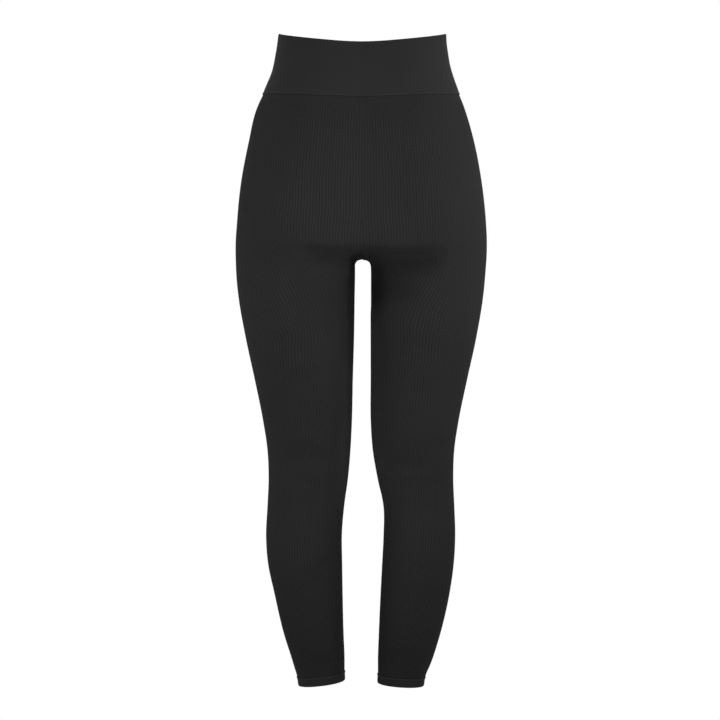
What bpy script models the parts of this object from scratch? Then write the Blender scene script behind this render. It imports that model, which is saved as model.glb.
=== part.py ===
"""High-waisted ribbed leggings, filled out as when worn, with nobody inside them.

Five pieces are cut and sewn: a left leg and a right leg, each with its half of
the seat, a doubled waistband, and a hem band at each ankle. The legs meet at the
centre seam, which runs from the waistband down the back, under the crotch and up
the front.

Frame: metres, +Z up. The origin is the centre of the waist opening, level with
its top edge at the sides. +X is the wearer's right, +Y is in front of them and
-Y behind. Sizes below are in millimetres, and a drop is measured down from the
origin.
"""

import math
from collections import namedtuple
from functools import lru_cache
from itertools import accumulate

import bmesh
import bpy
import numpy as np

MM = 0.001

# Sections of the garment's outer face, from the waist to the ankles. "lobe" is
# how far out each half is deepest, "outer_l" and "outer_r" are the left and right
# sides, "back" and "front" the depth behind and before the origin.
Section = namedtuple("Section", "drop lobe outer_l outer_r back front")
SECTIONS = (
    Section(-10, 34, 113, 115.5, 84, 86),
    Section(20, 36, 117, 117.5, 86, 88),
    Section(53, 40, 123.5, 123.5, 91, 92),
    Section(82, 45, 135, 133.5, 98, 96),
    Section(111, 50, 146.5, 143.5, 107, 99),
    Section(149, 56, 154.7, 153.8, 119, 101),
    Section(207, 63, 165.3, 164.3, 131, 100),
    Section(235, 67, 168.5, 167.7, 134, 97.5),
    Section(262, 70, 170.6, 169.9, 134.5, 94),
    Section(286, 75, 172.3, 171.1, 131.5, 90.4),
    Section(298, 77.5, 172.7, 171.2, 127.5, 88.7),
    Section(310, 80, 172.7, 171, 120.5, 87),
    Section(322, 82.6, 172.5, 170.3, 114, 85.4),
    Section(336, 85, 171.9, 169.3, 110, 83.7),
    Section(362, 88, 169.4, 166.8, 105.5, 81),
    Section(420, 84, 159.4, 157.3, 97, 77),
    Section(478, 79, 147, 144.8, 87, 73),
    Section(536, 75, 135.5, 133, 75, 68),
    Section(575, 74, 129.8, 127.4, 68, 65),
    Section(614, 75, 128.2, 126, 63.5, 61),
    Section(653, 78, 129.6, 127.3, 66, 53),
    Section(692, 79, 131.2, 128.2, 72.5, 44.5),
    Section(730, 78, 128.3, 126, 74.5, 37.5),
    Section(770, 75, 119.8, 120.4, 70, 33),
    Section(827, 67, 106.7, 107.7, 58.5, 29),
    Section(866, 61, 94.7, 95.6, 50.5, 27),
    Section(886, 57.5, 89.2, 87.8, 47.5, 27),
    Section(910, 55, 85, 83.5, 45, 27),
)

# The inner edge of each leg, from just under the crotch to the ankle.
Inner = namedtuple("Inner", "drop left right")
INNER_EDGES = (
    Inner(311, 9, 12),
    Inner(362, 10, 12.5),
    Inner(420, 11, 12.7),
    Inner(478, 12.7, 12.8),
    Inner(536, 14, 12.9),
    Inner(575, 16, 15.6),
    Inner(614, 19.4, 22.2),
    Inner(653, 24.7, 30.5),
    Inner(692, 27.8, 30.5),
    Inner(730, 27.3, 28.5),
    Inner(770, 26.7, 26.4),
    Inner(827, 25.4, 23.9),
    Inner(866, 23.8, 22.5),
    Inner(910, 23.5, 22),
)
ROUNDNESS = 2.15  # exponent of the ovals: 2 is an ellipse, more is squarer

# Between its deepest place and the centre, each half is squarer beside the crotch.
SQUARER = {"back": 1.6, "front": 0.8}  # added to the exponent
SQUARER_REACH = 26.0

# The centre seam, seen from the side: a U that runs straight down to its turn
# and then round under the body to the crotch.
CROTCH_DROP = 311.0
TURN_DROP = {"back": 268.0, "front": 262.0}
TURN_ROUNDNESS = {"back": 4.0, "front": 3.0}
SEAM_SINK = {"back": 2.5, "front": 2.0}  # the seam's depth between the halves at its turn
LEAST_SINK = 1.0
ARCH_RISE = 9.0  # height of the rounded top of the gap between the legs
ARCH_CLOSENESS = 4.0  # how closely that arch keeps to the inner leg: 1 is not at all
ARCH_FADE = 40.0  # how far below the crotch it takes to spread round the leg

# Seams and edges, as drops at the side and at the middle of the back and front.
TOP_EDGE = {"side": 0.0, "back": 22.5, "front": 6.0}
WAIST_SEAM = {"side": 85.5, "back": 99.0, "front": 89.5}
EDGE_SWEEP = 0.6  # below 1, an edge stays low for longer on either side of its middle
HEM_BAND = 12.5
HEM_OUTER = 899.5
HEM_INNER = {"left": 891.5, "right": 895.5}

# Cloth.
LEG_WALL = 1.4
RIB_HEIGHT = 0.5
BAND_FACE = 0.9  # how far the doubled waistband stands proud of the leg's face
BAND_WALL = 2.5
HEM_FACE = 0.7
HEM_WALL = 2.0
SEAM_GAP = 0.3

# Rings of points round each leg, by their drops. They are close together where the
# cloth turns under the seat, and the last of the first table closes at the crotch.
SeatRing = namedtuple("SeatRing", "back front side")
SEAT_RINGS = (
    SeatRing(158, 149, 140),
    SeatRing(214, 204, 190),
    SeatRing(256, 246, 230),
    SeatRing(284, 273, 262),
    SeatRing(300, 293, 286),
    SeatRing(307, 303.5, 304),
    SeatRing(310, 308.8, 320),
    SeatRing(310.93, 310.7, 336),
    SeatRing(CROTCH_DROP, CROTCH_DROP, 352),
)
LegRing = namedtuple("LegRing", "inner side")
LEG_RINGS = (
    LegRing(313, 364),
    LegRing(317.5, 380),
    LegRing(328, 398),
    LegRing(348, 420),
    LegRing(410, 474),
    LegRing(478, 533),
    LegRing(540, 585),
    LegRing(596, 630),
    LegRing(645, 672),
    LegRing(692, 714),
    LegRing(745, 762),
    LegRing(812, 822),
)
CROTCH_RING = len(SEAT_RINGS)

# Mesh density.
RIBS = 70  # raised ribs round each leg
COLUMNS = 2 * RIBS
INSIDE_STEPS = (1, 1, 1, 3, 3, 3, 3, 3, 3, 4)  # columns between inside points by the seam
SPARSE_STEP = 5  # elsewhere inside, one point to this many columns
BAND_COLUMNS = 24  # columns on each half of the waistband
BAND_ROWS = 4
HEM_COLUMNS = 24
HEM_ROWS = 2
PATH_POINTS = 400  # points on each side of a ring before they are spread evenly
PATH_ROUNDS = 8  # times that a ring's drops are fitted to its length
DROP_REACH = 1.0  # how far above and below a point its slope is read
PLACE_REACH = 0.004  # the same, to either side of it


@lru_cache(maxsize=None)
def column_of(table, name):
    """A column of a table with its drops and its slope at each row."""
    drops = np.array([row.drop for row in table], float)
    values = np.array([getattr(row, name) for row in table], float)
    return drops, values, np.gradient(values, drops)


def smooth(table, name, drop):
    """A column of a table at any drop or drops, through a smooth curve."""
    drops, values, slopes = column_of(table, name)
    low = np.clip(np.searchsorted(drops, drop) - 1, 0, len(drops) - 2)
    width = drops[low + 1] - drops[low]
    t = (drop - drops[low]) / width
    rise = values[low + 1] - values[low]
    bend_in = slopes[low] * width - rise
    bend_out = rise - slopes[low + 1] * width
    return values[low] + t * rise + t * (1 - t) * ((1 - t) * bend_in + t * bend_out)


def smoothstep(t):
    t = np.clip(t, 0, 1)
    return t * t * (3 - 2 * t)


def run_length(line):
    """How far each point of a line is from its start, along it."""
    return np.concatenate([[0], np.cumsum(np.linalg.norm(np.diff(line, axis=0), axis=1))])


def across_oval(share, roundness):
    """The half width of an oval at a share of its half depth, or the other way round."""
    return (1 - share**roundness) ** (1 / roundness)


def body_depth(drop):
    """Half the depth of the section at a drop, and how far ahead its middle lies."""
    back, front = smooth(SECTIONS, "back", drop), smooth(SECTIONS, "front", drop)
    return (front + back) / 2, (front - back) / 2


def seam_share(drop, way):
    """How far out the centre seam lies, as a share of the depth: 0 from the crotch down."""
    sink = LEAST_SINK + (SEAM_SINK[way] - LEAST_SINK) * smoothstep(drop / TURN_DROP[way])
    share = 1 - sink / body_depth(drop)[0]
    below = np.clip((drop - TURN_DROP[way]) / (CROTCH_DROP - TURN_DROP[way]), 0, 1)
    return share * across_oval(below, TURN_ROUNDNESS[way])


def inner_roundness(drop, way):
    """The exponent of a half's oval between its deepest place and the centre."""
    return ROUNDNESS + SQUARER[way] * np.exp(-(((drop - CROTCH_DROP) / SQUARER_REACH) ** 2))


def seam_place(drop, way):
    """The place of the centre seam at a drop, and of the inner leg below the crotch."""
    share = seam_share(drop, way)
    turned = math.asin(share ** (inner_roundness(drop, way) / 2)) / (math.pi / 2)
    place = turned**0.5 / (turned**0.5 + (1 - turned) ** 0.5)
    return place if way == "back" else 4 - place


def form(side, places, drops):
    """Points of the outer face of a half, at arrays of places and drops.

    A place counts the quarters of the way round: 0 at the inner leg, 1 where the
    back is deepest, 2 at the side, 3 where the front is deepest and 4 at the inner
    leg again. Above the crotch the centre seam cuts off both ends.
    """
    lobe = smooth(SECTIONS, "lobe", drops)
    outer = smooth(SECTIONS, "outer_" + side[0], drops) - lobe
    depth, middle_y = body_depth(drops)
    behind = places < 2
    past = np.clip(drops - CROTCH_DROP, 0, None)
    arch = np.sqrt(1 - (1 - np.clip(past / ARCH_RISE, 0, 1)) ** 2)
    edge_x = arch * (smooth(INNER_EDGES, side, drops) - SEAM_GAP / 2)
    closeness = ARCH_CLOSENESS + (1 - ARCH_CLOSENESS) * smoothstep(past / ARCH_FADE)
    share = np.where(behind, seam_share(drops, "back"), seam_share(drops, "front"))
    squarer = np.where(behind, inner_roundness(drops, "back"), inner_roundness(drops, "front"))
    width = (lobe - SEAM_GAP / 2) / across_oval(share, squarer)
    quarter = np.clip(np.where(behind, places, 4 - places), 0, 2)
    inner = quarter < 1
    part = np.where(inner, quarter, 2 - quarter)
    turn = math.pi / 2 * part**2 / (part**2 + (1 - part) ** 2)
    power = 2 / np.where(inner, squarer, ROUNDNESS)
    across, along = np.clip(np.cos(turn), 0, 1) ** power, np.sin(turn) ** power
    x = lobe + np.where(inner, edge_x * across**closeness - width * across, outer * across)
    y = middle_y + np.where(behind, -1, 1) * depth * along
    return np.column_stack([x if side == "right" else -x, y, -drops])


def inward(shares):
    """1 at the centre seam and the inner leg, 0 at the side."""
    return 0.5 + 0.5 * np.cos(2 * math.pi * shares)


def swept(back, front, side, power):
    """A ring's drops, at shares of its length from the centre back to the front."""

    def drops_at(shares):
        middle = np.where(shares < 0.5, back, front)
        return side + (middle - side) * inward(shares) ** power

    return drops_at


def edge_between(top, bottom, share, lift=0.0):
    """An edge at a share of the way between two of the named ones."""
    back, front, side = (
        top[name] + (bottom[name] - lift - top[name]) * share for name in ("back", "front", "side")
    )
    return swept(back, front, side, EDGE_SWEEP)


def ring_of(side, drops_at, count):
    """Evenly spaced points round a half with their unit normals out of the cloth."""
    start, end = (seam_place(drops_at(np.array([k]))[0], way) for k, way in ((0, "back"), (1, "front")))
    places = np.concatenate([np.linspace(start, 2, PATH_POINTS), np.linspace(2, end, PATH_POINTS)[1:]])
    shares = np.linspace(0, 1, len(places))
    for _ in range(PATH_ROUNDS):
        along = run_length(form(side, places, drops_at(shares)))
        shares = along / along[-1]
    even = np.arange(count + 1) / count
    where, drops = np.interp(even, shares, places), drops_at(even)
    down = form(side, where, drops + DROP_REACH) - form(side, where, drops - DROP_REACH)
    across = form(side, where + PLACE_REACH, drops) - form(side, where - PLACE_REACH, drops)
    normals = np.cross(down, across) * (1 if side == "right" else -1)
    return form(side, where, drops), normals / np.linalg.norm(normals, axis=1, keepdims=True)


def leg_rings(side):
    """The drops of each ring of a leg, from the waist seam to the hem."""
    joints = np.arange(BAND_COLUMNS + 1) / BAND_COLUMNS
    joint_drops = edge_between(WAIST_SEAM, WAIST_SEAM, 0)(joints) + SEAM_GAP / 2
    rings = [lambda shares: np.interp(shares, joints, joint_drops)]
    for number, ring in enumerate(SEAT_RINGS):
        power = EDGE_SWEEP + (1 - EDGE_SWEEP) * (number + 1) / CROTCH_RING
        rings.append(swept(ring.back, ring.front, ring.side, power))
    for ring in LEG_RINGS:
        rings.append(swept(ring.inner, ring.inner, ring.side, 1))
    lift = HEM_BAND + SEAM_GAP / 2
    rings.append(swept(HEM_INNER[side] - lift, HEM_INNER[side] - lift, HEM_OUTER - lift, 1))
    return rings


def seam_normals(normals):
    """A leg's normals, those of the slit kept on the centre plane."""
    normals[: CROTCH_RING + 1, [0, -1], 0] = 0
    normals[CROTCH_RING, [0, -1]] = (0, 0, -1)
    normals[CROTCH_RING + 1 :, -1] = normals[CROTCH_RING + 1 :, 0]
    return normals / np.linalg.norm(normals, axis=2, keepdims=True)


def moved_out(rings, normals, amount):
    return rings + normals * amount


def inside_columns():
    """The columns that carry a point on the plain inside face."""
    near = list(accumulate(INSIDE_STEPS, initial=0))
    middle = range(near[-1] + SPARSE_STEP, COLUMNS - near[-1], SPARSE_STEP)
    return near + list(middle) + [COLUMNS - k for k in reversed(near)]


class Sheet:
    """Collects the points of one piece's two faces and makes its solid."""

    def __init__(self):
        self.bm = bmesh.new()
        self.points = {}

    def point(self, key, place):
        if key not in self.points:
            self.points[key] = self.bm.verts.new([c * MM for c in place])

    def face(self, keys):
        corners = [self.points[key] for key in keys]
        corners = [v for k, v in enumerate(corners) if v not in corners[:k]]
        if len(corners) > 2:
            self.bm.faces.new(corners)

    def finish(self, name, material):
        bmesh.ops.recalc_face_normals(self.bm, faces=self.bm.faces)
        mesh = bpy.data.meshes.new(name)
        self.bm.to_mesh(mesh)
        self.bm.free()
        mesh.materials.append(material)
        mesh.shade_smooth()
        mesh.set_sharp_from_angle(angle=math.radians(50))
        made = bpy.data.objects.new(name, mesh)
        bpy.context.scene.collection.objects.link(made)
        return made


def cloth(name, colour, roughness):
    material = bpy.data.materials.new(name)
    material.use_nodes = True
    shader = material.node_tree.nodes["Principled BSDF"]
    shader.inputs["Base Color"].default_value = (*colour, 1)
    shader.inputs["Roughness"].default_value = roughness
    shader.inputs["Metallic"].default_value = 0
    return material


def leg(side, material):
    """A leg with its half of the seat: a tube, slit above the crotch."""
    rings, normals = zip(*(ring_of(side, drops_at, COLUMNS) for drops_at in leg_rings(side)))
    rings, normals = np.array(rings), seam_normals(np.array(normals))
    rib = RIB_HEIGHT * (np.arange(COLUMNS + 1) % 2)[None, :, None]
    outer = moved_out(rings, normals, rib)
    inner = moved_out(rings, normals, -LEG_WALL)
    sign = 1 if side == "right" else -1
    outer[:, :, 0] = sign * np.maximum(sign * outer[:, :, 0], SEAM_GAP / 2)
    inside = inside_columns()
    last = len(rings) - 1
    sheet = Sheet()

    def key(face, ring, column):
        closed = ring >= CROTCH_RING
        return face, ring, 0 if closed and column == COLUMNS else column

    for ring in range(last + 1):
        for column in range(COLUMNS + 1):
            sheet.point(key("out", ring, column), outer[ring, column])
        for column in inside:
            sheet.point(key("in", ring, column), inner[ring, column])
    for ring in range(last):
        below = ring + 1
        for face, columns in (("out", list(range(COLUMNS + 1))), ("in", inside)):
            for here, there in zip(columns, columns[1:]):
                quad = ((ring, here), (ring, there), (below, there), (below, here))
                sheet.face([key(face, *corner) for corner in quad])
        if ring < CROTCH_RING:
            for column in (0, COLUMNS):
                quad = (("out", ring), ("out", below), ("in", below), ("in", ring))
                sheet.face([key(*corner, column) for corner in quad])
    for ring in (0, last):
        for here, there in zip(inside, inside[1:]):
            chain = [key("out", ring, column) for column in range(here, there + 1)]
            sheet.face(chain + [key("in", ring, there), key("in", ring, here)])
    return sheet.finish(f"leg_{side}", material)


def tube(name, rings, normals, face, wall, material):
    """A closed band of cloth, its face proud of the rings' points by "face"."""
    outer = moved_out(rings, normals, face)
    inner = moved_out(rings, normals, face - wall)
    count = rings.shape[1]
    last = len(rings) - 1
    sheet = Sheet()
    for ring in range(last + 1):
        for column in range(count):
            sheet.point(("out", ring, column), outer[ring, column])
            sheet.point(("in", ring, column), inner[ring, column])
    for column in range(count):
        there = (column + 1) % count
        for ring in range(last):
            for side in ("out", "in"):
                quad = ((ring, column), (ring, there), (ring + 1, there), (ring + 1, column))
                sheet.face([(side, *corner) for corner in quad])
        for ring in (0, last):
            quad = (("out", column), ("out", there), ("in", there), ("in", column))
            sheet.face([(side, ring, where) for side, where in quad])
    return sheet.finish(name, material)


def waistband(material):
    """A doubled band all round the waist, lowest at the middle of the back."""
    rings = []
    normals = []
    for row in range(BAND_ROWS + 1):
        drops_at = edge_between(TOP_EDGE, WAIST_SEAM, row / BAND_ROWS, SEAM_GAP / 2)
        loops = []
        for side in ("right", "left"):
            points, ways = ring_of(side, drops_at, BAND_COLUMNS)
            points[[0, -1], 0] = 0
            ways[[0, -1], 0] = 0
            loops.append((points, ways) if side == "right" else (points[::-1], ways[::-1]))
        rings.append(np.vstack([points[:-1] for points, _ in loops]))
        normals.append(np.vstack([ways[:-1] for _, ways in loops]))
    return tube("waistband", np.array(rings), np.array(normals), BAND_FACE, BAND_WALL, material)


def hem(side, material):
    """A smooth band round the ankle, square to the leg."""
    rings = []
    normals = []
    for row in range(HEM_ROWS + 1):
        lift = (HEM_BAND - SEAM_GAP / 2) * (1 - row / HEM_ROWS)
        inner, outer = HEM_INNER[side] - lift, HEM_OUTER - lift
        points, ways = ring_of(side, swept(inner, inner, outer, 1), HEM_COLUMNS)
        rings.append(points[:-1])
        normals.append(ways[:-1])
    return tube(f"hem_{side}", np.array(rings), np.array(normals), HEM_FACE, HEM_WALL, material)


def main():
    for old in list(bpy.data.objects):
        bpy.data.objects.remove(old)
    rib_knit = cloth("rib_knit", (0.022, 0.022, 0.022), 0.85)
    plain_knit = cloth("plain_knit", (0.025, 0.025, 0.025), 0.8)
    waistband(plain_knit)
    for side in ("left", "right"):
        leg(side, rib_knit)
        hem(side, plain_knit)


main()
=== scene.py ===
"""High-waisted black leggings in fine rib knit, filled out as when worn, seen from behind.

Lengths are in metres unless a name says otherwise. Tables give drops and depths in
millimetres: a drop is measured down from the waist's top edge at the sides, +X is the
wearer's right, +Y is in front of them and -Y behind.
"""
import math
from collections import namedtuple

import bmesh
import bpy
import numpy as np
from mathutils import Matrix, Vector


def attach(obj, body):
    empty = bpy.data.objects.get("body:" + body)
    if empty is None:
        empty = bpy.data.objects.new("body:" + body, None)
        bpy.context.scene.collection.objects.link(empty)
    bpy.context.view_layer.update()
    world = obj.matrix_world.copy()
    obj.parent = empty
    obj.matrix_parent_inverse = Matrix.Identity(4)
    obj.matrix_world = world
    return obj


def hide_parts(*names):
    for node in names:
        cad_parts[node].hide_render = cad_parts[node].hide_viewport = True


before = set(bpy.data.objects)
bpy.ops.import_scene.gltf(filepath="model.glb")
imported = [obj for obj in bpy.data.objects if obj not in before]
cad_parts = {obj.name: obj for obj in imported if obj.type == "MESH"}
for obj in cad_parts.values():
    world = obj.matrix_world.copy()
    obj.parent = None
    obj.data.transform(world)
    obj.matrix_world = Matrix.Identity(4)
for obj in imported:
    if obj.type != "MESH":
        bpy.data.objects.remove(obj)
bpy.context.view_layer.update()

bpy.ops.object.select_all(action="DESELECT")


# ---------------------------------------------------------------- the filled form
# The knit takes the shape of a general figure, so the form comes first: one rounded
# oval for each half at every level, cut off by the centre plane down to the crotch
# and closed round the leg below it.

MM = 0.001

# "lobe" is how far out a half is deepest, "outer_l" and "outer_r" are the sides,
# "back" and "front" the depths behind and before the waist's middle.
Section = namedtuple("Section", "drop lobe outer_l outer_r back front")
SECTIONS = (
    Section(-10, 34, 113, 115.5, 84, 86),
    Section(20, 36, 117, 117.5, 86, 88),
    Section(53, 40, 123.5, 123.5, 91, 92),
    Section(82, 45, 135, 133.5, 98, 96),
    Section(111, 50, 146.5, 143.5, 107, 99),
    Section(149, 56, 154.7, 153.8, 119, 101),
    Section(207, 63, 165.3, 164.3, 131, 100),
    Section(235, 67, 168.5, 167.7, 134, 97.5),
    Section(262, 70, 170.6, 169.9, 134.5, 94),
    Section(286, 75, 172.3, 171.1, 131.5, 90.4),
    Section(298, 77.5, 172.7, 171.2, 127.5, 88.7),
    Section(310, 80, 172.7, 171, 120.5, 87),
    Section(322, 82.6, 172.5, 170.3, 114, 85.4),
    Section(336, 85, 171.9, 169.3, 110, 83.7),
    Section(362, 88, 169.4, 166.8, 105.5, 81),
    Section(420, 84, 159.4, 157.3, 97, 77),
    Section(478, 79, 147, 144.8, 87, 73),
    Section(536, 75, 135.5, 133, 75, 68),
    Section(575, 74, 129.8, 127.4, 68, 65),
    Section(614, 75, 128.2, 126, 63.5, 61),
    Section(653, 78, 129.6, 127.3, 66, 53),
    Section(692, 79, 131.2, 128.2, 72.5, 44.5),
    Section(730, 78, 128.3, 126, 74.5, 37.5),
    Section(770, 75, 119.8, 120.4, 70, 33),
    Section(827, 67, 106.7, 107.7, 58.5, 29),
    Section(866, 61, 94.7, 95.6, 50.5, 27),
    Section(886, 57.5, 89.2, 87.8, 47.5, 27),
    Section(910, 55, 85, 83.5, 45, 27),
)

# How far each leg's inner edge is from the centre plane, below the crotch.
Inner = namedtuple("Inner", "drop left right")
INNER_EDGES = (
    Inner(311, 9, 12),
    Inner(362, 10, 12.5),
    Inner(420, 11, 12.7),
    Inner(478, 12.7, 12.8),
    Inner(536, 14, 12.9),
    Inner(575, 16, 15.6),
    Inner(614, 19.4, 22.2),
    Inner(653, 24.7, 30.5),
    Inner(692, 27.8, 30.5),
    Inner(730, 27.3, 28.5),
    Inner(770, 26.7, 26.4),
    Inner(827, 25.4, 23.9),
    Inner(866, 23.8, 22.5),
    Inner(910, 23.5, 22),
)
ROUNDNESS = 2.15  # the ovals' exponent, which is 2 for an ellipse
CROTCH_DROP = 311.0
SQUARER = {"back": 1.6, "front": 0.8}  # added to the roundness beside the crotch
SQUARER_REACH = 26.0
TURN_DROP = {"back": 268.0, "front": 262.0}  # where the centre seam starts to turn under
TURN_ROUNDNESS = {"back": 4.0, "front": 3.0}
SEAM_SINK = {"back": 2.5, "front": 2.0}  # how far in the centre seam lies, at the most
LEAST_SINK = 1.0
ARCH_RISE = 9.0  # the height of the round top of the gap between the legs
ARCH_CLOSENESS = 4.0  # how closely the crotch's arch keeps to the inner leg
ARCH_FADE = 40.0  # how far below the crotch it takes to spread round the leg


def smooth(table, name, drop):
    """A column of a table at any drop or drops, through a smooth curve."""
    drops = np.array([row.drop for row in table], float)
    values = np.array([getattr(row, name) for row in table], float)
    slopes = np.gradient(values, drops)
    low = np.clip(np.searchsorted(drops, drop) - 1, 0, len(drops) - 2)
    width = drops[low + 1] - drops[low]
    t = (drop - drops[low]) / width
    rise = values[low + 1] - values[low]
    bend_in = slopes[low] * width - rise
    bend_out = rise - slopes[low + 1] * width
    return values[low] + t * rise + t * (1 - t) * ((1 - t) * bend_in + t * bend_out)


def smoothstep(t):
    """A soft rise from 0 to 1 as t goes from 0 to 1."""
    t = np.clip(t, 0, 1)
    return t * t * (3 - 2 * t)


def across_oval(share, roundness):
    """The half width of an oval at a share of its half depth, or the other way round."""
    return (1 - share**roundness) ** (1 / roundness)


def body_depth(drop):
    """Half the depth from back to front at a drop, and the y of its middle."""
    back, front = smooth(SECTIONS, "back", drop), smooth(SECTIONS, "front", drop)
    return (front + back) / 2, (front - back) / 2


def seam_share(drop, way):
    """How far out the centre seam lies, as a share of the depth: 0 from the crotch down."""
    sink = LEAST_SINK + (SEAM_SINK[way] - LEAST_SINK) * smoothstep(drop / TURN_DROP[way])
    below = np.clip((drop - TURN_DROP[way]) / (CROTCH_DROP - TURN_DROP[way]), 0, 1)
    return (1 - sink / body_depth(drop)[0]) * across_oval(below, TURN_ROUNDNESS[way])


def inner_roundness(drop, way):
    """The exponent of a half's oval between its deepest place and the centre."""
    return ROUNDNESS + SQUARER[way] * np.exp(-(((drop - CROTCH_DROP) / SQUARER_REACH) ** 2))


def seam_place(drop, way):
    """The place of the centre seam at a drop, and of the inner leg below the crotch."""
    turned = math.asin(seam_share(drop, way) ** (inner_roundness(drop, way) / 2)) / (math.pi / 2)
    place = turned**0.5 / (turned**0.5 + (1 - turned) ** 0.5)
    return place if way == "back" else 4 - place


def form(side, places, drops):
    """Points of the outer face of a half at arrays of places and drops, in millimetres.

    A place counts the quarters of the way round: 0 at the inner leg, 1 where the back
    is deepest, 2 at the side, 3 where the front is deepest and 4 at the inner leg
    again. Above the crotch the centre seam cuts off both ends.
    """
    lobe = smooth(SECTIONS, "lobe", drops)
    outer = smooth(SECTIONS, "outer_" + side[0], drops) - lobe
    depth, middle_y = body_depth(drops)
    behind = places < 2
    past = np.clip(drops - CROTCH_DROP, 0, None)
    arch = np.sqrt(1 - (1 - np.clip(past / ARCH_RISE, 0, 1)) ** 2)
    edge_x = arch * smooth(INNER_EDGES, side, drops)
    closeness = ARCH_CLOSENESS + (1 - ARCH_CLOSENESS) * smoothstep(past / ARCH_FADE)
    share = np.where(behind, seam_share(drops, "back"), seam_share(drops, "front"))
    squarer = np.where(behind, inner_roundness(drops, "back"), inner_roundness(drops, "front"))
    width = lobe / across_oval(share, squarer)
    quarter = np.clip(np.where(behind, places, 4 - places), 0, 2)
    inner = quarter < 1
    part = np.where(inner, quarter, 2 - quarter)
    turn = math.pi / 2 * part**2 / (part**2 + (1 - part) ** 2)
    power = 2 / np.where(inner, squarer, ROUNDNESS)
    across, along = np.clip(np.cos(turn), 0, 1) ** power, np.sin(turn) ** power
    x = lobe + np.where(inner, edge_x * across**closeness - width * across, outer * across)
    y = middle_y + np.where(behind, -1, 1) * depth * along
    return np.column_stack([x if side == "right" else -x, y, -drops])


# ---------------------------------------------------------------- the two legs
# Each leg is one panel of fine rib knit, black, that wraps the leg and its half of
# the seat. The ribs run with the side line, and those near the panel's edges are
# cut off at the inner-leg seam as the leg narrows.

WAIST_SEAM = {"side": 85.5, "back": 99.0, "front": 89.5}
CROTCH_SIDE = 352.0  # where the row of the crotch meets the side line
HEM_BAND = 12.5
HEM_OUTER = 899.5  # where the hem's edge ends the side line
HEM_INNER = {"left": 891.5, "right": 895.5}  # where it ends the inner leg
LEG_WALL = 0.9
RIB_HEIGHT = 0.5
RIB_SHAPE = (0.0, 0.78, 1.0, 0.78)  # height at each quarter of a rib, from its groove
RIB_FADE_ROWS = 3  # the ribs rise over these rows below the waistband, and sink above the hem
SEAT_ROWS = 58
LEG_ROWS = 92
LEG_ROW_GROWTH = 1.25  # the leg's rows lie closer together just below the crotch
EDGE_SWEEP = 0.6  # below 1, so the waistband's edges run flatter at the centre back and front
SWEEP_ROWS = 0.6  # the share of the seat's rows over which that fades into a plain wave
SEAT_RIBS = 60  # from each side line to the centre back or front, above the seat's fold
EDGE_GAP = 0.6  # how near a seam the last whole quarter of a rib may lie, in quarters
SEAM_LEVEL = 0.6  # the knit's height along the centre and inner-leg seams, as a share of a rib's
SEAM_REACH = 1.5  # how far from a seam the ribs take to rise to their own height
WAVER_REACH = 60.0  # how far in from a seam the ribs run straighter
COURSE = 1.5  # one course of stitches
PAINTED_SHADE_DEPTH = 7.0  # how deep a crease is where its painted shade is nearly full
PAINTED_THIGH_LIGHT = 1.5  # how strong the painted light is along the inner thighs, where each leg shades the other
PAINTED_LIGHT_REACH = 68.0  # how far out from the inner-leg seam that painted light reaches
# Where the painted light along the inner thighs begins and ends, and how far it fades in and out.
PAINTED_LIGHT_FROM = {"left": 308.0, "right": 370.0}
PAINTED_LIGHT_TO = 720.0
PAINTED_LIGHT_FADE_IN = 40.0
PAINTED_LIGHT_FADE_OUT = 200.0

# The most that one rib is stretched at each drop. Ribs are added along the crotch
# seam as the panel widens, and cut off down the inner leg as it narrows.
Stretch = namedtuple("Stretch", "drop rib")
STRETCHES = (
    Stretch(60, 4.5),
    Stretch(352, 4.25),
    Stretch(400, 4.6),
    Stretch(450, 4.7),
    Stretch(500, 4.4),
    Stretch(560, 4.1),
    Stretch(650, 4.0),
    Stretch(740, 3.95),
    Stretch(830, 3.75),
    Stretch(900, 3.65),
)

# A line round a half: its drops at the centre back, the centre front and the side, and
# how it sweeps between them, by shares of its own length.
Row = namedtuple("Row", "back front side sweep")
PATH_STEPS = 400
SEAM_STEPS = 2000
SETTLING_ROUNDS = 8


def inward(shares):
    """1 at the centre seam and the inner leg, 0 at the side."""
    return 0.5 + 0.5 * np.cos(2 * math.pi * shares)


def row_drops(row, shares):
    """The drops of a row at shares of its own length."""
    middle = np.where(shares < 0.5, row.back, row.front)
    return row.side + (middle - row.side) * inward(shares) ** row.sweep


def run_length(line):
    """How far each point of a line is from its start, along it."""
    return np.concatenate([[0], np.cumsum(np.linalg.norm(np.diff(line, axis=0), axis=1))])


def row_path(side, row):
    """A row's shares and places at close steps all the way round.

    The drops depend on the shares and the shares on the drops, so both settle in turns.
    """
    start, end = seam_place(row.back, "back"), seam_place(row.front, "front")
    places = np.concatenate([np.linspace(start, 2, PATH_STEPS), np.linspace(2, end, PATH_STEPS)[1:]])
    shares = np.linspace(0, 1, len(places))
    for _ in range(SETTLING_ROUNDS):
        along = run_length(form(side, places, row_drops(row, shares)))
        shares = along / along[-1]
    return shares, places


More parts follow.
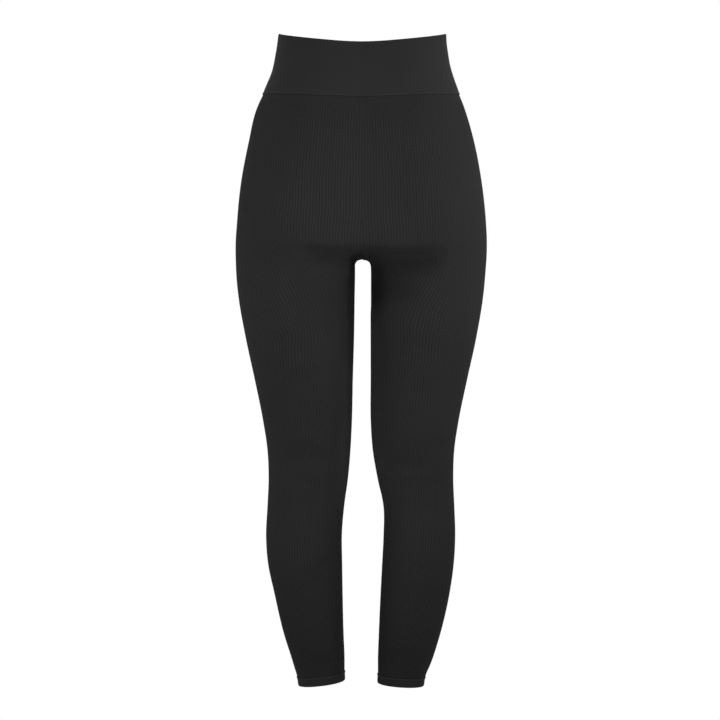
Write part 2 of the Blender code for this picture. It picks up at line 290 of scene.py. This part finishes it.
def leg_rows(side):
    """Rows that part the centre seam evenly, and then those of the leg."""
    found = {}
    for way, sign in (("back", -1), ("front", 1)):
        start = WAIST_SEAM[way]
        turn = np.linspace(0, math.pi / 2, SEAM_STEPS)
        drops = start + (CROTCH_DROP - start) * np.sin(turn)
        depth, middle_y = body_depth(drops)
        along = run_length(np.column_stack([middle_y + sign * depth * seam_share(drops, way), drops]))
        found[way] = np.interp(np.linspace(0, along[-1], SEAT_ROWS + 1), along, drops)
    rows = []
    for number in range(SEAT_ROWS + 1):
        share = number / SEAT_ROWS
        middle = WAIST_SEAM["side"] + (CROTCH_SIDE - WAIST_SEAM["side"]) * share
        sweep = EDGE_SWEEP + (1 - EDGE_SWEEP) * smoothstep(share / SWEEP_ROWS)
        rows.append(Row(found["back"][number], found["front"][number], middle, sweep))
    hem_inner = HEM_INNER[side] - HEM_BAND
    for number in range(1, LEG_ROWS + 1):
        share = number / LEG_ROWS
        inner = CROTCH_DROP + (hem_inner - CROTCH_DROP) * share**LEG_ROW_GROWTH
        rows.append(Row(inner, inner, CROTCH_SIDE + (HEM_OUTER - HEM_BAND - CROTCH_SIDE) * share, 1))
    return rows


# Where the ribs stray most from straight: at the middle of the thighs, the calves and
# the seat, each with its half height and how far they stray there.
Stray = namedtuple("Stray", "drop half_height most")
STRAYS = (Stray(430, 75, 2.7), Stray(705, 75, 1.3), Stray(190, 80, 0.35))
LEAST_STRAY = 0.15

# They stray in a long wave and a short one, stronger in some patches than in others. A
# wave moves on by one radian over its lengths down and across, and it starts elsewhere
# on the right leg.
Wave = namedtuple("Wave", "amount down across right_start start")
LONG_WAVE = Wave(0.8, 15.5, 38, 1.9, 0)
SHORT_WAVE = Wave(0.45, 6.8, -19, 4.37, 0.7)
PATCHES = Wave(0.45, 31, 24, 2.47, 0)
PATCH_LEVEL = 0.75


def swing(wave, side, reach, drop):
    """A wave's value at a reach from the side line and a drop."""
    start = wave.right_start if side == "right" else 0
    return wave.amount * np.sin(drop / wave.down + reach / wave.across + start + wave.start)


def waver(side, reach, drop):
    """How far the ribs stray sideways, at a reach from the side line and a drop."""
    strength = LEAST_STRAY
    for stray in STRAYS:
        strength += stray.most * math.exp(-(((drop - stray.drop) / stray.half_height) ** 2))
    patches = PATCH_LEVEL + swing(PATCHES, side, reach, drop)
    return strength * patches * (swing(LONG_WAVE, side, reach, drop) + swing(SHORT_WAVE, side, reach, drop))


class Panel:
    """A leg's cut of rib knit: rows of points across it, each a quarter rib apart.

    A row's points are known by their quarter ribs from the side line, and its ends
    by "back" and "front", which are one point below the crotch.
    """

    def __init__(self, side):
        self.side = side
        self.keys, self.start, self.course = [], [], []
        laid = []
        total = 0
        for number, row in enumerate(leg_rows(side)):
            closed = number >= SEAT_ROWS
            points, quarters, from_seam = self.lay(row, closed)
            kept = len(points) - closed
            laid.append((points[:kept], quarters[:kept], from_seam[:kept]))
            self.start.append(total)
            total += kept
        self.points, self.quarters, self.from_seam = (np.concatenate(rows) for rows in zip(*laid))
        self.last = len(self.keys) - 1
        self.row_of = np.repeat(np.arange(len(self.keys)), np.diff(self.start + [total]))
        self.slit = np.array([self.at(n, key) for n in range(SEAT_ROWS) for key in ("back", "front")])

    def lay(self, row, closed):
        """A row's points, their quarter ribs and how far they are from the nearest seam.

        A closed row goes all round the leg, so its last point is its first again.
        """
        shares, places = row_path(self.side, row)
        drops = row_drops(row, shares)
        along = run_length(form(self.side, places, drops))
        side_at = np.interp(2, places, along)
        most = smooth(STRETCHES, "rib", row.side)
        spans = {"back": side_at, "front": along[-1] - side_at}
        ribs = {way: most if closed else min(span / SEAT_RIBS, most) for way, span in spans.items()}
        ends = {way: 4 * span / ribs[way] for way, span in spans.items()}
        low, high = -int(ends["back"] - EDGE_GAP), int(ends["front"] - EDGE_GAP)
        quarters = np.array([-ends["back"], *range(low, high + 1), ends["front"]])
        at = quarters * np.where(quarters < 0, ribs["back"], ribs["front"]) / 4
        from_seam = np.minimum(side_at + at, along[-1] - side_at - at)
        level = 0.25 * (row.back + row.front) + 0.5 * row.side  # the row's mean drop
        at = at + waver(self.side, at, level) * smoothstep(from_seam / WAVER_REACH)
        where = [np.interp(side_at + at, along, values) for values in (places, drops)]
        self.keys.append(["back", *range(low, high + 1), "front"])
        self.course.append(level / COURSE)
        return form(self.side, *where), quarters, from_seam

    def at(self, row, key):
        """The number of a point in the panel."""
        keys = self.keys[row]
        if key == "back" or key == "front" and row >= SEAT_ROWS:
            return self.start[row]
        if key == "front":
            return self.start[row] + len(keys) - 1
        return self.start[row] + 1 + key - keys[1]

    def uv(self, row, key):
        """Ribs and courses at a corner, for the stitches."""
        keys = self.keys[row]
        quarter = {"back": keys[1] - 1, "front": keys[-2] + 1}.get(key, key)
        return (quarter / 4, self.course[row])

    def faces(self, step):
        """Corners of the faces between the rows, with every so many quarter ribs."""
        found = []
        for top in range(self.last):
            low = top + 1
            upper, lower = ([k for k in self.keys[n][1:-1] if k % step == 0] for n in (top, low))
            shared = upper if len(upper) < len(lower) else lower
            for here, there in zip(shared, shared[1:]):
                found.append(((top, here), (top, there), (low, there), (low, here)))
            for way in ("back", "front"):
                found += self.edge_faces(top, way, upper, lower)
        return found

    def edge_faces(self, top, way, upper, lower):
        """Faces along an edge, with a fan where a rib of the upper row is cut off."""
        low = top + 1
        if way == "back":
            spare = [k for k in upper if k <= lower[0]]
            extra = [k for k in lower if k <= upper[0]]
        else:
            spare = [k for k in upper[::-1] if k >= lower[-1]]
            extra = [k for k in lower[::-1] if k >= upper[-1]]
        if len(extra) > len(spare):
            fan = [((low, a), (low, b), (top, way)) for a, b in zip([way] + extra, extra)]
            return fan + [((top, extra[-1]), (low, extra[-1]), (top, way))]
        fan = [((top, a), (top, b), (low, way)) for a, b in zip([way] + spare, spare)]
        return fan + [((top, spare[-1]), (low, spare[-1]), (low, way))]

    def normals(self):
        """Unit normals out of the cloth, at right angles to the plain form."""
        faces = [[self.at(*corner) for corner in face] for face in self.faces(1)]
        shape = bpy.data.meshes.new("form")
        shape.from_pydata(self.points, [], faces)
        bm = bmesh.new()
        bm.from_mesh(shape)
        bmesh.ops.recalc_face_normals(bm, faces=bm.faces)
        bm.normal_update()
        out = np.array([v.normal for v in bm.verts])
        if (out[self.at(0, 0), 0] > 0) != (self.side == "right"):
            out = -out
        bm.free()
        bpy.data.meshes.remove(shape)
        out[self.slit, 0] = 0
        out[self.start[SEAT_ROWS]] = (0, 0, -1)
        return out / np.linalg.norm(out, axis=1, keepdims=True)

    def wall(self):
        """Corners of all the wall's faces: a layer, 0 outside or 1 inside, a row and a key."""
        corners = [[(0, *corner) for corner in face] for face in self.faces(1)]
        corners += [[(1, *corner) for corner in face[::-1]] for face in self.faces(4)]
        for row in range(SEAT_ROWS):
            for key in ("back", "front"):
                corners.append([(0, row, key), (0, row + 1, key), (1, row + 1, key), (1, row, key)])
        for row in (0, self.last):
            keys = self.keys[row]
            inside = [k for k in keys if k in ("back", "front") or k % 4 == 0]
            for here, there in zip(inside, inside[1:]):
                chain = keys[keys.index(here) : keys.index(there) + 1]
                corners.append([(0, row, key) for key in chain] + [(1, row, there), (1, row, here)])
        return corners


# Creases and hollows in the cloth, as seen from behind ("back") or from before
# ("front"): each runs from one place to another, bows down in its middle, fades to
# its ends and has a half width and a depth. A ridge's depth is below 0.
# A crease's depth also sets how much painted shade lies in it.
Crease = namedtuple("Crease", "way x drop to_x to_drop bow width depth")
CREASES = (
    # the folds under the seat: a sharp upper line over a broad hollow
    Crease("back", 8, 303, -94, 300, 3, 5, 1.2),
    Crease("back", 16, 316, -82, 309, 5, 12, 2.3),
    Crease("back", -4, 366, -104, 362, 0, 34, 1.3),
    Crease("back", -8, 303, 118, 302, 6, 6, 1.4),
    Crease("back", 2, 322, 114, 316, 8, 16, 4.2),
    Crease("back", 14, 350, 84, 356, 6, 14, 1.8),
    # the low ridge of the seam above the crotch
    Crease("back", 0, 274, 0, 320, 0, 8, -1.8),
    # the hollow of the right inner thigh
    Crease("back", 14, 318, 15, 386, 0, 13, 5.2),
    # behind the thighs and knees
    Crease("back", -128, 415, -52, 446, -5, 9, 0.5),
    Crease("back", -110, 470, -34, 458, 5, 10, 0.5),
    Crease("back", 44, 430, 122, 411, 4, 9, 0.5),
    Crease("back", 30, 468, 104, 482, -4, 9, 0.5),
    Crease("back", -118, 556, -42, 563, 5, 7, 0.7),
    Crease("back", -121, 586, -30, 578, -4, 8, 0.9),
    Crease("back", -104, 603, -28, 612, 5, 7, 0.7),
    Crease("back", -120, 640, -52, 628, 4, 7, 0.5),
    Crease("back", 36, 566, 118, 555, 5, 7, 0.7),
    Crease("back", 26, 588, 108, 594, -5, 8, 0.9),
    Crease("back", 38, 616, 121, 606, 4, 7, 0.7),
    Crease("back", 46, 636, 112, 647, 3, 7, 0.5),
    # puckers on the calves
    Crease("back", -84, 742, -36, 706, 3, 6, 0.8),
    Crease("back", -92, 762, -48, 733, 3, 5, 0.6),
    Crease("back", 52, 712, 98, 734, 3, 6, 0.5),
    Crease("back", 44, 741, 86, 762, 2, 5, 0.4),
    # above the hems
    Crease("back", -86, 846, -36, 852, 3, 6, 0.5),
    Crease("back", -78, 864, -34, 858, -2, 5, 0.4),
    Crease("back", 32, 848, 82, 842, 3, 6, 0.5),
    Crease("back", 38, 866, 74, 871, 2, 5, 0.4),
    # before the hips, knees and shins
    Crease("front", -10, 300, -72, 246, 7, 9, 1.4),
    Crease("front", -12, 322, -86, 288, 6, 8, 1.0),
    Crease("front", 9, 303, 66, 250, 6, 9, 1.5),
    Crease("front", 14, 325, 92, 294, 7, 8, 1.0),
    Crease("front", -116, 596, -44, 604, 6, 8, 0.7),
    Crease("front", -106, 632, -40, 622, 5, 8, 0.6),
    Crease("front", 34, 600, 110, 592, 6, 8, 0.7),
    Crease("front", 42, 628, 116, 638, 4, 8, 0.5),
    Crease("front", -92, 842, -38, 850, 4, 6, 0.5),
    Crease("front", 34, 853, 88, 845, 4, 6, 0.5),
)
CREASE_FADE = 0.8
FACING_AT_SIDE = 0.3  # how much of a crease is left where the cloth faces sideways
FACING_GROWTH = 3


def crease_depths(points, out):
    """How far the cloth sinks at an array of points with their normals."""
    sunk = np.zeros(len(points))
    for crease in CREASES:
        start = np.array([crease.x, -crease.drop], float)
        run = np.array([crease.to_x, -crease.to_drop]) - start
        length = np.linalg.norm(run)
        run /= length
        offset = points[:, [0, 2]] - start
        along = offset @ run / length
        bell = np.sin(math.pi * np.clip(along, 0, 1))
        off = offset @ np.array([run[1], -run[0]]) * math.copysign(1, run[0])
        off -= crease.bow * bell
        towards = -out[:, 1] if crease.way == "back" else out[:, 1]
        facing = np.clip(FACING_GROWTH * towards + FACING_AT_SIDE, 0, 1)
        sunk += crease.depth * facing * bell**CREASE_FADE * np.exp(-((off / crease.width) ** 2))
    return sunk


def painted_shading_at(panel, sinking):
    """The painted shading at each point: up to 1 of painted shade in the creases, and below 0 for painted
    light along the inner thighs, where each leg shades the other.
    """
    drops = -panel.points[:, 2]
    begun = smoothstep((drops - PAINTED_LIGHT_FROM[panel.side]) / PAINTED_LIGHT_FADE_IN)
    painted_light = begun * smoothstep((PAINTED_LIGHT_TO - drops) / PAINTED_LIGHT_FADE_OUT)
    painted_light *= PAINTED_THIGH_LIGHT * (1 - smoothstep(panel.from_seam / PAINTED_LIGHT_REACH))
    return 1 - np.exp(-np.maximum(sinking, 0) / PAINTED_SHADE_DEPTH) - painted_light


def leg_layers(panel, out, sinking):
    """The points of a leg's ribbed outside and of its plain inside."""
    plain = smoothstep(panel.row_of / RIB_FADE_ROWS) * smoothstep((panel.last - panel.row_of) / RIB_FADE_ROWS)
    height = np.array([RIB_SHAPE[int(quarter) % 4] for quarter in panel.quarters])
    height = SEAM_LEVEL + (height - SEAM_LEVEL) * smoothstep(panel.from_seam / SEAM_REACH)
    sign = 1 if panel.side == "right" else -1
    layers = []
    for offset in (RIB_HEIGHT * height * plain - sinking, -LEG_WALL - sinking):
        layer = panel.points + out * offset[:, None]
        layer[panel.slit, 0] = 0
        layer[:, 0] = sign * np.maximum(sign * layer[:, 0], 0)
        layers.append(layer)
    return layers


def leg_mesh(side):
    """A leg's wall, with its painted shading and a UV map that counts ribs and courses."""
    panel = Panel(side)
    out = panel.normals()
    sinking = crease_depths(panel.points, out)
    count = len(panel.points)
    corners = panel.wall()
    faces = [[layer * count + panel.at(row, key) for layer, row, key in face] for face in corners]
    used, places = np.unique(np.concatenate(faces), return_inverse=True)
    splits = np.cumsum([len(face) for face in faces])[:-1]
    points = np.vstack(leg_layers(panel, out, sinking))[used] * MM
    mesh = bpy.data.meshes.new(f"leg_{side}_knit")
    mesh.from_pydata(points, [], [list(face) for face in np.split(places, splits)])
    slack = mesh.attributes.new("slack", "FLOAT", "POINT")
    slack.data.foreach_set("value", np.tile(painted_shading_at(panel, sinking), 2)[used].astype(np.float32))
    stitches = mesh.uv_layers.new(name="stitches")
    uvs = [panel.uv(row, key) for face in corners for _, row, key in face]
    stitches.data.foreach_set("uv", np.array(uvs, np.float32).ravel())
    return mesh


def finished(mesh, name, material):
    """The mesh as an object, its faces all turned out and shaded smooth."""
    bm = bmesh.new()
    bm.from_mesh(mesh)
    bmesh.ops.recalc_face_normals(bm, faces=bm.faces)
    bm.to_mesh(mesh)
    bm.free()
    mesh.shade_smooth()
    mesh.set_sharp_from_angle(angle=math.radians(60))
    mesh.materials.append(material)
    made = bpy.data.objects.new(name, mesh)
    bpy.context.scene.collection.objects.link(made)
    return made


def shader_group(name, inputs, outputs):
    """An empty shader group with its named sockets, then what it takes and what it gives."""
    group = bpy.data.node_groups.new(name, "ShaderNodeTree")
    for socket in inputs:
        group.interface.new_socket(socket, in_out="INPUT", socket_type="NodeSocketVector")
    for socket in outputs:
        group.interface.new_socket(socket, in_out="OUTPUT", socket_type="NodeSocketFloat")
    return group, group.nodes.new("NodeGroupInput").outputs, group.nodes.new("NodeGroupOutput").inputs


def math_node(tree, operation, *values):
    """The output of a new math node, fed by numbers and by the outputs of other nodes."""
    node = tree.nodes.new("ShaderNodeMath")
    node.operation = operation
    for socket, value in zip(node.inputs, values):
        if isinstance(value, (int, float)):
            socket.default_value = value
        else:
            tree.links.new(value, socket)
    return node.outputs[0]


def mix_node(tree, blend, factor, first, second, clamp=True):
    """The colour from a new mix node, of two colours or other nodes' outputs."""
    node = tree.nodes.new("ShaderNodeMix")
    node.data_type = "RGBA"
    node.blend_type = blend
    node.clamp_factor = clamp
    tree.links.new(factor, node.inputs["Factor"])
    for socket, value in zip(("A", "B"), (first, second)):
        if isinstance(value, tuple):
            node.inputs[socket].default_value = value
        else:
            tree.links.new(value, node.inputs[socket])
    return node.outputs["Result"]


def axes_of(tree, vector):
    """The x, y and z of a vector."""
    parts = tree.nodes.new("ShaderNodeSeparateXYZ")
    tree.links.new(vector, parts.inputs[0])
    return parts.outputs


def loop_group():
    """The group of knit loops: V-shaped columns, and a tone from patches of uneven dye and from painted shade
    between the loops.
    """
    group, takes, gives = shader_group("knit loops", ["Vector"], ["Height", "Dye and loop shade"])
    axes = axes_of(group, takes["Vector"])
    across = math_node(group, "PINGPONG", axes["X"], 0.5)
    slanted = math_node(group, "ADD", axes["Y"], math_node(group, "MULTIPLY", across, 1.2))
    wave = math_node(group, "SINE", math_node(group, "MULTIPLY", slanted, 2 * math.pi))
    column = math_node(group, "SINE", math_node(group, "MULTIPLY", across, 2 * math.pi))
    height = math_node(group, "MULTIPLY", math_node(group, "MULTIPLY_ADD", wave, 0.35, 0.5), column)
    group.links.new(height, gives["Height"])
    place = group.nodes.new("ShaderNodeTexCoord")
    patches = group.nodes.new("ShaderNodeTexNoise")
    patches.inputs["Scale"].default_value = 9
    patches.inputs["Detail"].default_value = 3
    group.links.new(place.outputs["Object"], patches.inputs["Vector"])
    dye = math_node(group, "MULTIPLY", patches.outputs["Fac"], 0.6)
    dye_and_loop_shade = math_node(group, "ADD", dye, math_node(group, "MULTIPLY", height, 0.35))
    group.links.new(dye_and_loop_shade, gives["Dye and loop shade"])
    return group


def painted_groove_shade_group():
    """The group of the painted shade in the rib grooves: 1 between two ribs and 0 on top of one."""
    group, takes, gives = shader_group("painted shade in rib grooves", ["Vector"], ["Groove"])
    turn = math_node(group, "MULTIPLY", axes_of(group, takes["Vector"])["X"], 2 * math.pi)
    wave = math_node(group, "COSINE", turn)
    group.links.new(math_node(group, "MULTIPLY_ADD", wave, 0.5, 0.5), gives["Groove"])
    return group


def painted_shading_group():
    """The group of the painted shading: painted shade towards the hems, and the mesh's attribute of painted
    shade, or of painted light where it is below 0.
    """
    group, _, gives = shader_group("slack knit", [], ["Shade"])
    place = group.nodes.new("ShaderNodeTexCoord")
    ankles = group.nodes.new("ShaderNodeMapRange")
    ankles.interpolation_type = "SMOOTHSTEP"
    ankles.inputs["From Min"].default_value = -PAINTED_SHADE_FROM * MM
    ankles.inputs["From Max"].default_value = -HEM_OUTER * MM
    ankles.inputs["To Max"].default_value = PAINTED_ANKLE_SHADE
    group.links.new(axes_of(group, place.outputs["Object"])["Z"], ankles.inputs["Value"])
    attribute_shading = group.nodes.new("ShaderNodeAttribute")
    attribute_shading.attribute_name = "slack"
    shade = math_node(group, "MULTIPLY_ADD", attribute_shading.outputs["Fac"], PAINTED_SHADING_SCALE, ankles.outputs["Result"])
    group.links.new(shade, gives["Shade"])
    return group


def knit_material(name, colour, stitch, depth, roughness, painted_groove_shade):
    """Black knit: small slanting loops, uneven dye, and painted shade in the rib grooves, between the loops,
    in the creases and towards the hems, with painted light along the inner thighs and on raised lines of
    stitches.

    "stitch" is how many loops fill a rib's width and a course's height, "depth" how deep
    they are in metres, and "groove" how much painted shade lies between two ribs.
    """
    material = bpy.data.materials.new(name)
    material.use_nodes = True
    tree = material.node_tree
    nodes, links = tree.nodes, tree.links
    shader = nodes["Principled BSDF"]
    shader.inputs["Roughness"].default_value = roughness
    shader.inputs["Specular IOR Level"].default_value = 0.05
    shader.inputs["Sheen Weight"].default_value = 0.004
    shader.inputs["Sheen Roughness"].default_value = 0.5
    loops, ribs, slack = (nodes.new("ShaderNodeGroup") for _ in KNIT_GROUPS)
    for node, group in zip((loops, ribs, slack), KNIT_GROUPS):
        node.node_tree = group
    uv = nodes.new("ShaderNodeUVMap")
    uv.uv_map = "stitches"
    scale = nodes.new("ShaderNodeMapping")
    scale.inputs["Scale"].default_value = (*stitch, 1)
    links.new(uv.outputs["UV"], scale.inputs["Vector"])
    links.new(scale.outputs["Vector"], loops.inputs["Vector"])
    links.new(uv.outputs["UV"], ribs.inputs["Vector"])
    bump = nodes.new("ShaderNodeBump")
    bump.inputs["Distance"].default_value = depth
    bump.inputs["Strength"].default_value = 0.6
    links.new(loops.outputs["Height"], bump.inputs["Height"])
    links.new(bump.outputs["Normal"], shader.inputs["Normal"])
    darkest, lightest = ((*[c * dye for c in colour], 1) for dye in DYE_AND_LOOP_SHADE)
    dyed = mix_node(tree, "MIX", loops.outputs["Dye and loop shade"], darkest, lightest)
    shadow = (1 - painted_groove_shade, 1 - painted_groove_shade, 1 - painted_groove_shade, 1)
    groove_shaded = mix_node(tree, "MULTIPLY", ribs.outputs["Groove"], dyed, shadow)
    shaded = mix_node(tree, "MULTIPLY", slack.outputs["Shade"], groove_shaded, (0, 0, 0, 1), clamp=False)
    links.new(shaded, shader.inputs["Base Color"])
    return material


RIB_BLACK = (0.021, 0.021, 0.021)
DYE_AND_LOOP_SHADE = (0.8, 1.15)  # the darkest and lightest of the uneven dye with the painted shade between loops, as shares of the colour
PAINTED_SHADE_FROM = 600.0  # painted shade darkens the knit from this drop down to the hems
# The most painted shade, at the hems.
PAINTED_ANKLE_SHADE = 0.28
# How strongly the painted shading attribute darkens the knit, or lightens it where below 0.
PAINTED_SHADING_SCALE = 0.9
KNIT_GROUPS = (loop_group(), painted_groove_shade_group(), painted_shading_group())
rib_knit = knit_material(
    "rib_knit_black", RIB_BLACK, stitch=(4, 1), depth=0.0002, roughness=0.88, painted_groove_shade=0.3
)

for side in ("left", "right"):
    leg = finished(leg_mesh(side), f"knit_leg_{side}", rib_knit)
    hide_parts(f"leg_{side}")
    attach(leg, "root")


# ---------------------------------------------------------------- the waistband
# A doubled band of smooth knit, folded over at the top and sewn on all round, with
# a fine raised line where its edge meets the ribs. It dips at the middle of the back.

TOP_EDGE = {"side": 0.0, "back": 22.5, "front": 6.0}
BAND_BLACK = (0.0205, 0.0205, 0.0205)
BAND_COLUMNS = 220  # on each half
BAND_RIPPLE = 0.25
# The band's section: a share of its height from the top, how far it stands out, and its
# painted shading: painted shade under a raised line of stitches, and a painted highlight on that line, which
# is below 0.
BandPoint = namedtuple("BandPoint", "share out slack", defaults=(0.0,))
BAND_SECTION = (
    BandPoint(1.0, -0.6, 0.5),
    BandPoint(0.998, 0.3, 0.3),
    BandPoint(0.991, 0.8, 0.05),
    BandPoint(0.982, 1.25, -0.2),
    BandPoint(0.972, 1.25, -0.2),
    BandPoint(0.963, 0.75),
    BandPoint(0.93, 0.85),
    BandPoint(0.88, 0.9),
    BandPoint(0.8, 0.9),
    BandPoint(0.7, 0.9),
    BandPoint(0.6, 0.9),
    BandPoint(0.5, 0.9),
    BandPoint(0.4, 0.9),
    BandPoint(0.3, 0.9),
    BandPoint(0.2, 0.9),
    BandPoint(0.1, 0.9),
    BandPoint(0.04, 0.9),
    BandPoint(0.015, 0.8),
    BandPoint(0.004, 0.35),
    BandPoint(0.0, -0.35),
    BandPoint(0.004, -1.1),
    BandPoint(0.02, -1.5),
    BandPoint(0.1, -1.6),
    BandPoint(0.3, -1.6),
    BandPoint(0.5, -1.6),
    BandPoint(0.7, -1.6),
    BandPoint(0.9, -1.6),
    BandPoint(1.0, -1.5),
)


def band_mesh(name, section, loops):
    """A closed band through a loop for each point of its section, the last joined to the first."""
    count = len(loops[0])
    points = [Vector(p) * MM for loop in loops for p in loop]
    middles = np.array([loop.mean(axis=0) for loop in loops + loops[:1]])
    courses = run_length(middles) / COURSE
    faces = []
    uvs = []
    for row in range(len(loops)):
        below = (row + 1) % len(loops)
        for column in range(count):
            there = (column + 1) % count
            faces.append(
                (row * count + column, row * count + there, below * count + there, below * count + column)
            )
            level, level_below = courses[row], courses[row + 1]
            uvs += [(column, level), (column + 1, level), (column + 1, level_below), (column, level_below)]
    mesh = bpy.data.meshes.new(name)
    mesh.from_pydata(points, [], faces)
    # The painted shading of each loop, from the section.
    slack = mesh.attributes.new("slack", "FLOAT", "POINT")
    slack.data.foreach_set("value", np.repeat([point.slack for point in section], count))
    layer = mesh.uv_layers.new(name="stitches")
    layer.data.foreach_set("uv", np.array(uvs, dtype=np.float32).ravel())
    return mesh


PLACE_STEP = 0.004  # a short way round the form, to find which way is across


def even_row(side, row, count):
    """Evenly spaced points of a row, with their unit normals out of the cloth."""
    even = np.linspace(0, 1, count + 1)
    drops = row_drops(row, even)
    places = np.interp(even, *row_path(side, row))
    down = form(side, places, drops + 1) - form(side, places, drops - 1)
    across = form(side, places + PLACE_STEP, drops) - form(side, places - PLACE_STEP, drops)
    out = np.cross(down, across) * (1 if side == "right" else -1)
    return form(side, places, drops), out / np.linalg.norm(out, axis=1, keepdims=True)


def band_loop(share, out):
    """One loop of the band: all round the waist at a share of the band's height."""
    drops = (TOP_EDGE[key] + (WAIST_SEAM[key] - TOP_EDGE[key]) * share for key in ("back", "front", "side"))
    row = Row(*drops, EDGE_SWEEP)
    loop = []
    for side in ("right", "left"):
        points, ways = even_row(side, row, BAND_COLUMNS)
        ways[[0, -1], 0] = 0
        ripple = np.sin(points[:, 0] / 17 - points[:, 2] / 9) * np.sin(points[:, 2] / 13 + points[:, 1] / 23)
        ripple = BAND_RIPPLE * ripple * smoothstep(share / 0.1) * smoothstep((0.95 - share) / 0.1)
        points = points + ways * (out + ripple)[:, None]
        points[[0, -1], 0] = 0
        loop.append(points if side == "right" else points[::-1])
    return np.vstack([loop[0][:-1], loop[1][:-1]])


band_loops = [band_loop(point.share, point.out) for point in BAND_SECTION]
plain_knit = knit_material(
    "plain_knit_black", BAND_BLACK, stitch=(1, 1), depth=0.0001, roughness=0.85, painted_groove_shade=0.0
)
waistband = finished(band_mesh("waistband_knit", BAND_SECTION, band_loops), "knit_waistband", plain_knit)
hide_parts("waistband")
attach(waistband, "root")


# ---------------------------------------------------------------- the hem bands
# A narrow smooth band at each ankle, turned up double, with a raised line of stitches
# round its upper edge that carries a painted highlight.

HEM_COLUMNS = 180
HEM_SECTION = (
    BandPoint(0.0, -0.9),
    BandPoint(0.01, 0.6),
    BandPoint(0.04, 0.95, -0.35),
    BandPoint(0.11, 1.0, -0.38),
    BandPoint(0.16, 0.6),
    BandPoint(0.3, 0.5),
    BandPoint(0.5, 0.55),
    BandPoint(0.65, 0.7),
    BandPoint(0.8, 0.75),
    BandPoint(0.92, 0.6),
    BandPoint(0.98, 0.2),
    BandPoint(1.0, -0.5),
    BandPoint(0.97, -1.1),
    BandPoint(0.85, -1.3),
    BandPoint(0.5, -1.3),
    BandPoint(0.1, -1.3),
)


def hem_loop(side, point):
    """One loop of a hem, all round the ankle, for a point of its section."""
    lift = HEM_BAND * (1 - point.share)
    inner, outer = HEM_INNER[side] - lift, HEM_OUTER - lift
    points, ways = even_row(side, Row(inner, inner, outer, 1), HEM_COLUMNS)
    return (points + ways * point.out)[:-1]


for side in ("left", "right"):
    loops = [hem_loop(side, point) for point in HEM_SECTION]
    hem = finished(band_mesh(f"hem_{side}_knit", HEM_SECTION, loops), f"knit_hem_{side}", plain_knit)
    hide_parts(f"hem_{side}")
    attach(hem, "root")


# ---------------------------------------------------------------- studio
# A plain white floor and ground, even light from all round, four weak soft lamps, and
# the camera three metres behind the garment, level with its middle.

FLOOR_DROP = 1.12
bpy.ops.mesh.primitive_plane_add(size=30, location=(0, 0, -FLOOR_DROP))
floor = bpy.context.object
floor.name = "studio_floor"
paper = bpy.data.materials.new("studio_paper")
paper.use_nodes = True
paper_nodes, paper_links = paper.node_tree.nodes, paper.node_tree.links
paper_shader = paper_nodes["Principled BSDF"]
paper_shader.inputs["Base Color"].default_value = (0.8, 0.8, 0.8, 1)
paper_shader.inputs["Roughness"].default_value = 1
paper_shader.inputs["Specular IOR Level"].default_value = 0
glow = paper_nodes.new("ShaderNodeEmission")
paper_rays = paper_nodes.new("ShaderNodeLightPath")
paper_mix = paper_nodes.new("ShaderNodeMixShader")
paper_links.new(paper_rays.outputs["Is Camera Ray"], paper_mix.inputs["Fac"])
paper_links.new(paper_shader.outputs["BSDF"], paper_mix.inputs[1])
paper_links.new(glow.outputs["Emission"], paper_mix.inputs[2])
paper_links.new(paper_mix.outputs["Shader"], paper_nodes["Material Output"].inputs["Surface"])
floor.data.materials.append(paper)

world = bpy.data.worlds.new("studio_world")
bpy.context.scene.world = world
world.use_nodes = True
world_nodes, world_links = world.node_tree.nodes, world.node_tree.links
seen = world_nodes["Background"]
seen.inputs["Color"].default_value = (1, 1, 1, 1)
seen.inputs["Strength"].default_value = 1.0
lighting = world_nodes.new("ShaderNodeBackground")
lighting.inputs["Color"].default_value = (1, 1, 1, 1)
lighting.inputs["Strength"].default_value = 0.88
rays = world_nodes.new("ShaderNodeLightPath")
choose = world_nodes.new("ShaderNodeMixShader")
world_links.new(rays.outputs["Is Camera Ray"], choose.inputs["Fac"])
world_links.new(lighting.outputs["Background"], choose.inputs[1])
world_links.new(seen.outputs["Background"], choose.inputs[2])
world_links.new(choose.outputs["Shader"], world_nodes["World Output"].inputs["Surface"])

SoftLight = namedtuple("SoftLight", "name place aim size spread power")
LIGHTS = (
    SoftLight("key", (-0.3, -1.0, -0.4), (0, 0, -0.25), 0.3, 34, 0.18),
    SoftLight("side", (1.22, -0.55, -0.2), (0.08, 0, -0.2), 0.5, 28, 0.6),
    SoftLight("low", (0.12, -1.25, -0.74), (0, 0, -0.69), 0.4, 30, 0.24),
    SoftLight("rim", (-1.27, -0.22, -0.3), (0, 0, -0.35), 0.8, 70, 0.3),
)
for light in LIGHTS:
    data = bpy.data.lights.new(light.name, "AREA")
    data.size = light.size
    data.energy = light.power
    data.spread = math.radians(light.spread)
    lamp = bpy.data.objects.new(light.name, data)
    lamp.location = light.place
    lamp.rotation_euler = (Vector(light.aim) - Vector(light.place)).to_track_quat("-Z", "Y").to_euler()
    bpy.context.scene.collection.objects.link(lamp)

CAMERA_DISTANCE = 3.0
FRAME_WIDTH = 0.996  # what the picture spans at the garment's middle plane
CAMERA_DROP = 0.451
CAMERA_ASIDE = -0.0024
camera_data = bpy.data.cameras.new("camera")
camera_data.sensor_width = 36
camera_data.lens = 36 * CAMERA_DISTANCE / FRAME_WIDTH
camera = bpy.data.objects.new("camera", camera_data)
camera.location = (CAMERA_ASIDE, -CAMERA_DISTANCE, -CAMERA_DROP)
camera.rotation_euler = (math.radians(90), 0, 0)
bpy.context.scene.collection.objects.link(camera)
bpy.context.scene.camera = camera
bpy.context.scene.view_settings.view_transform = "Standard"

bpy.context.view_layer.update()
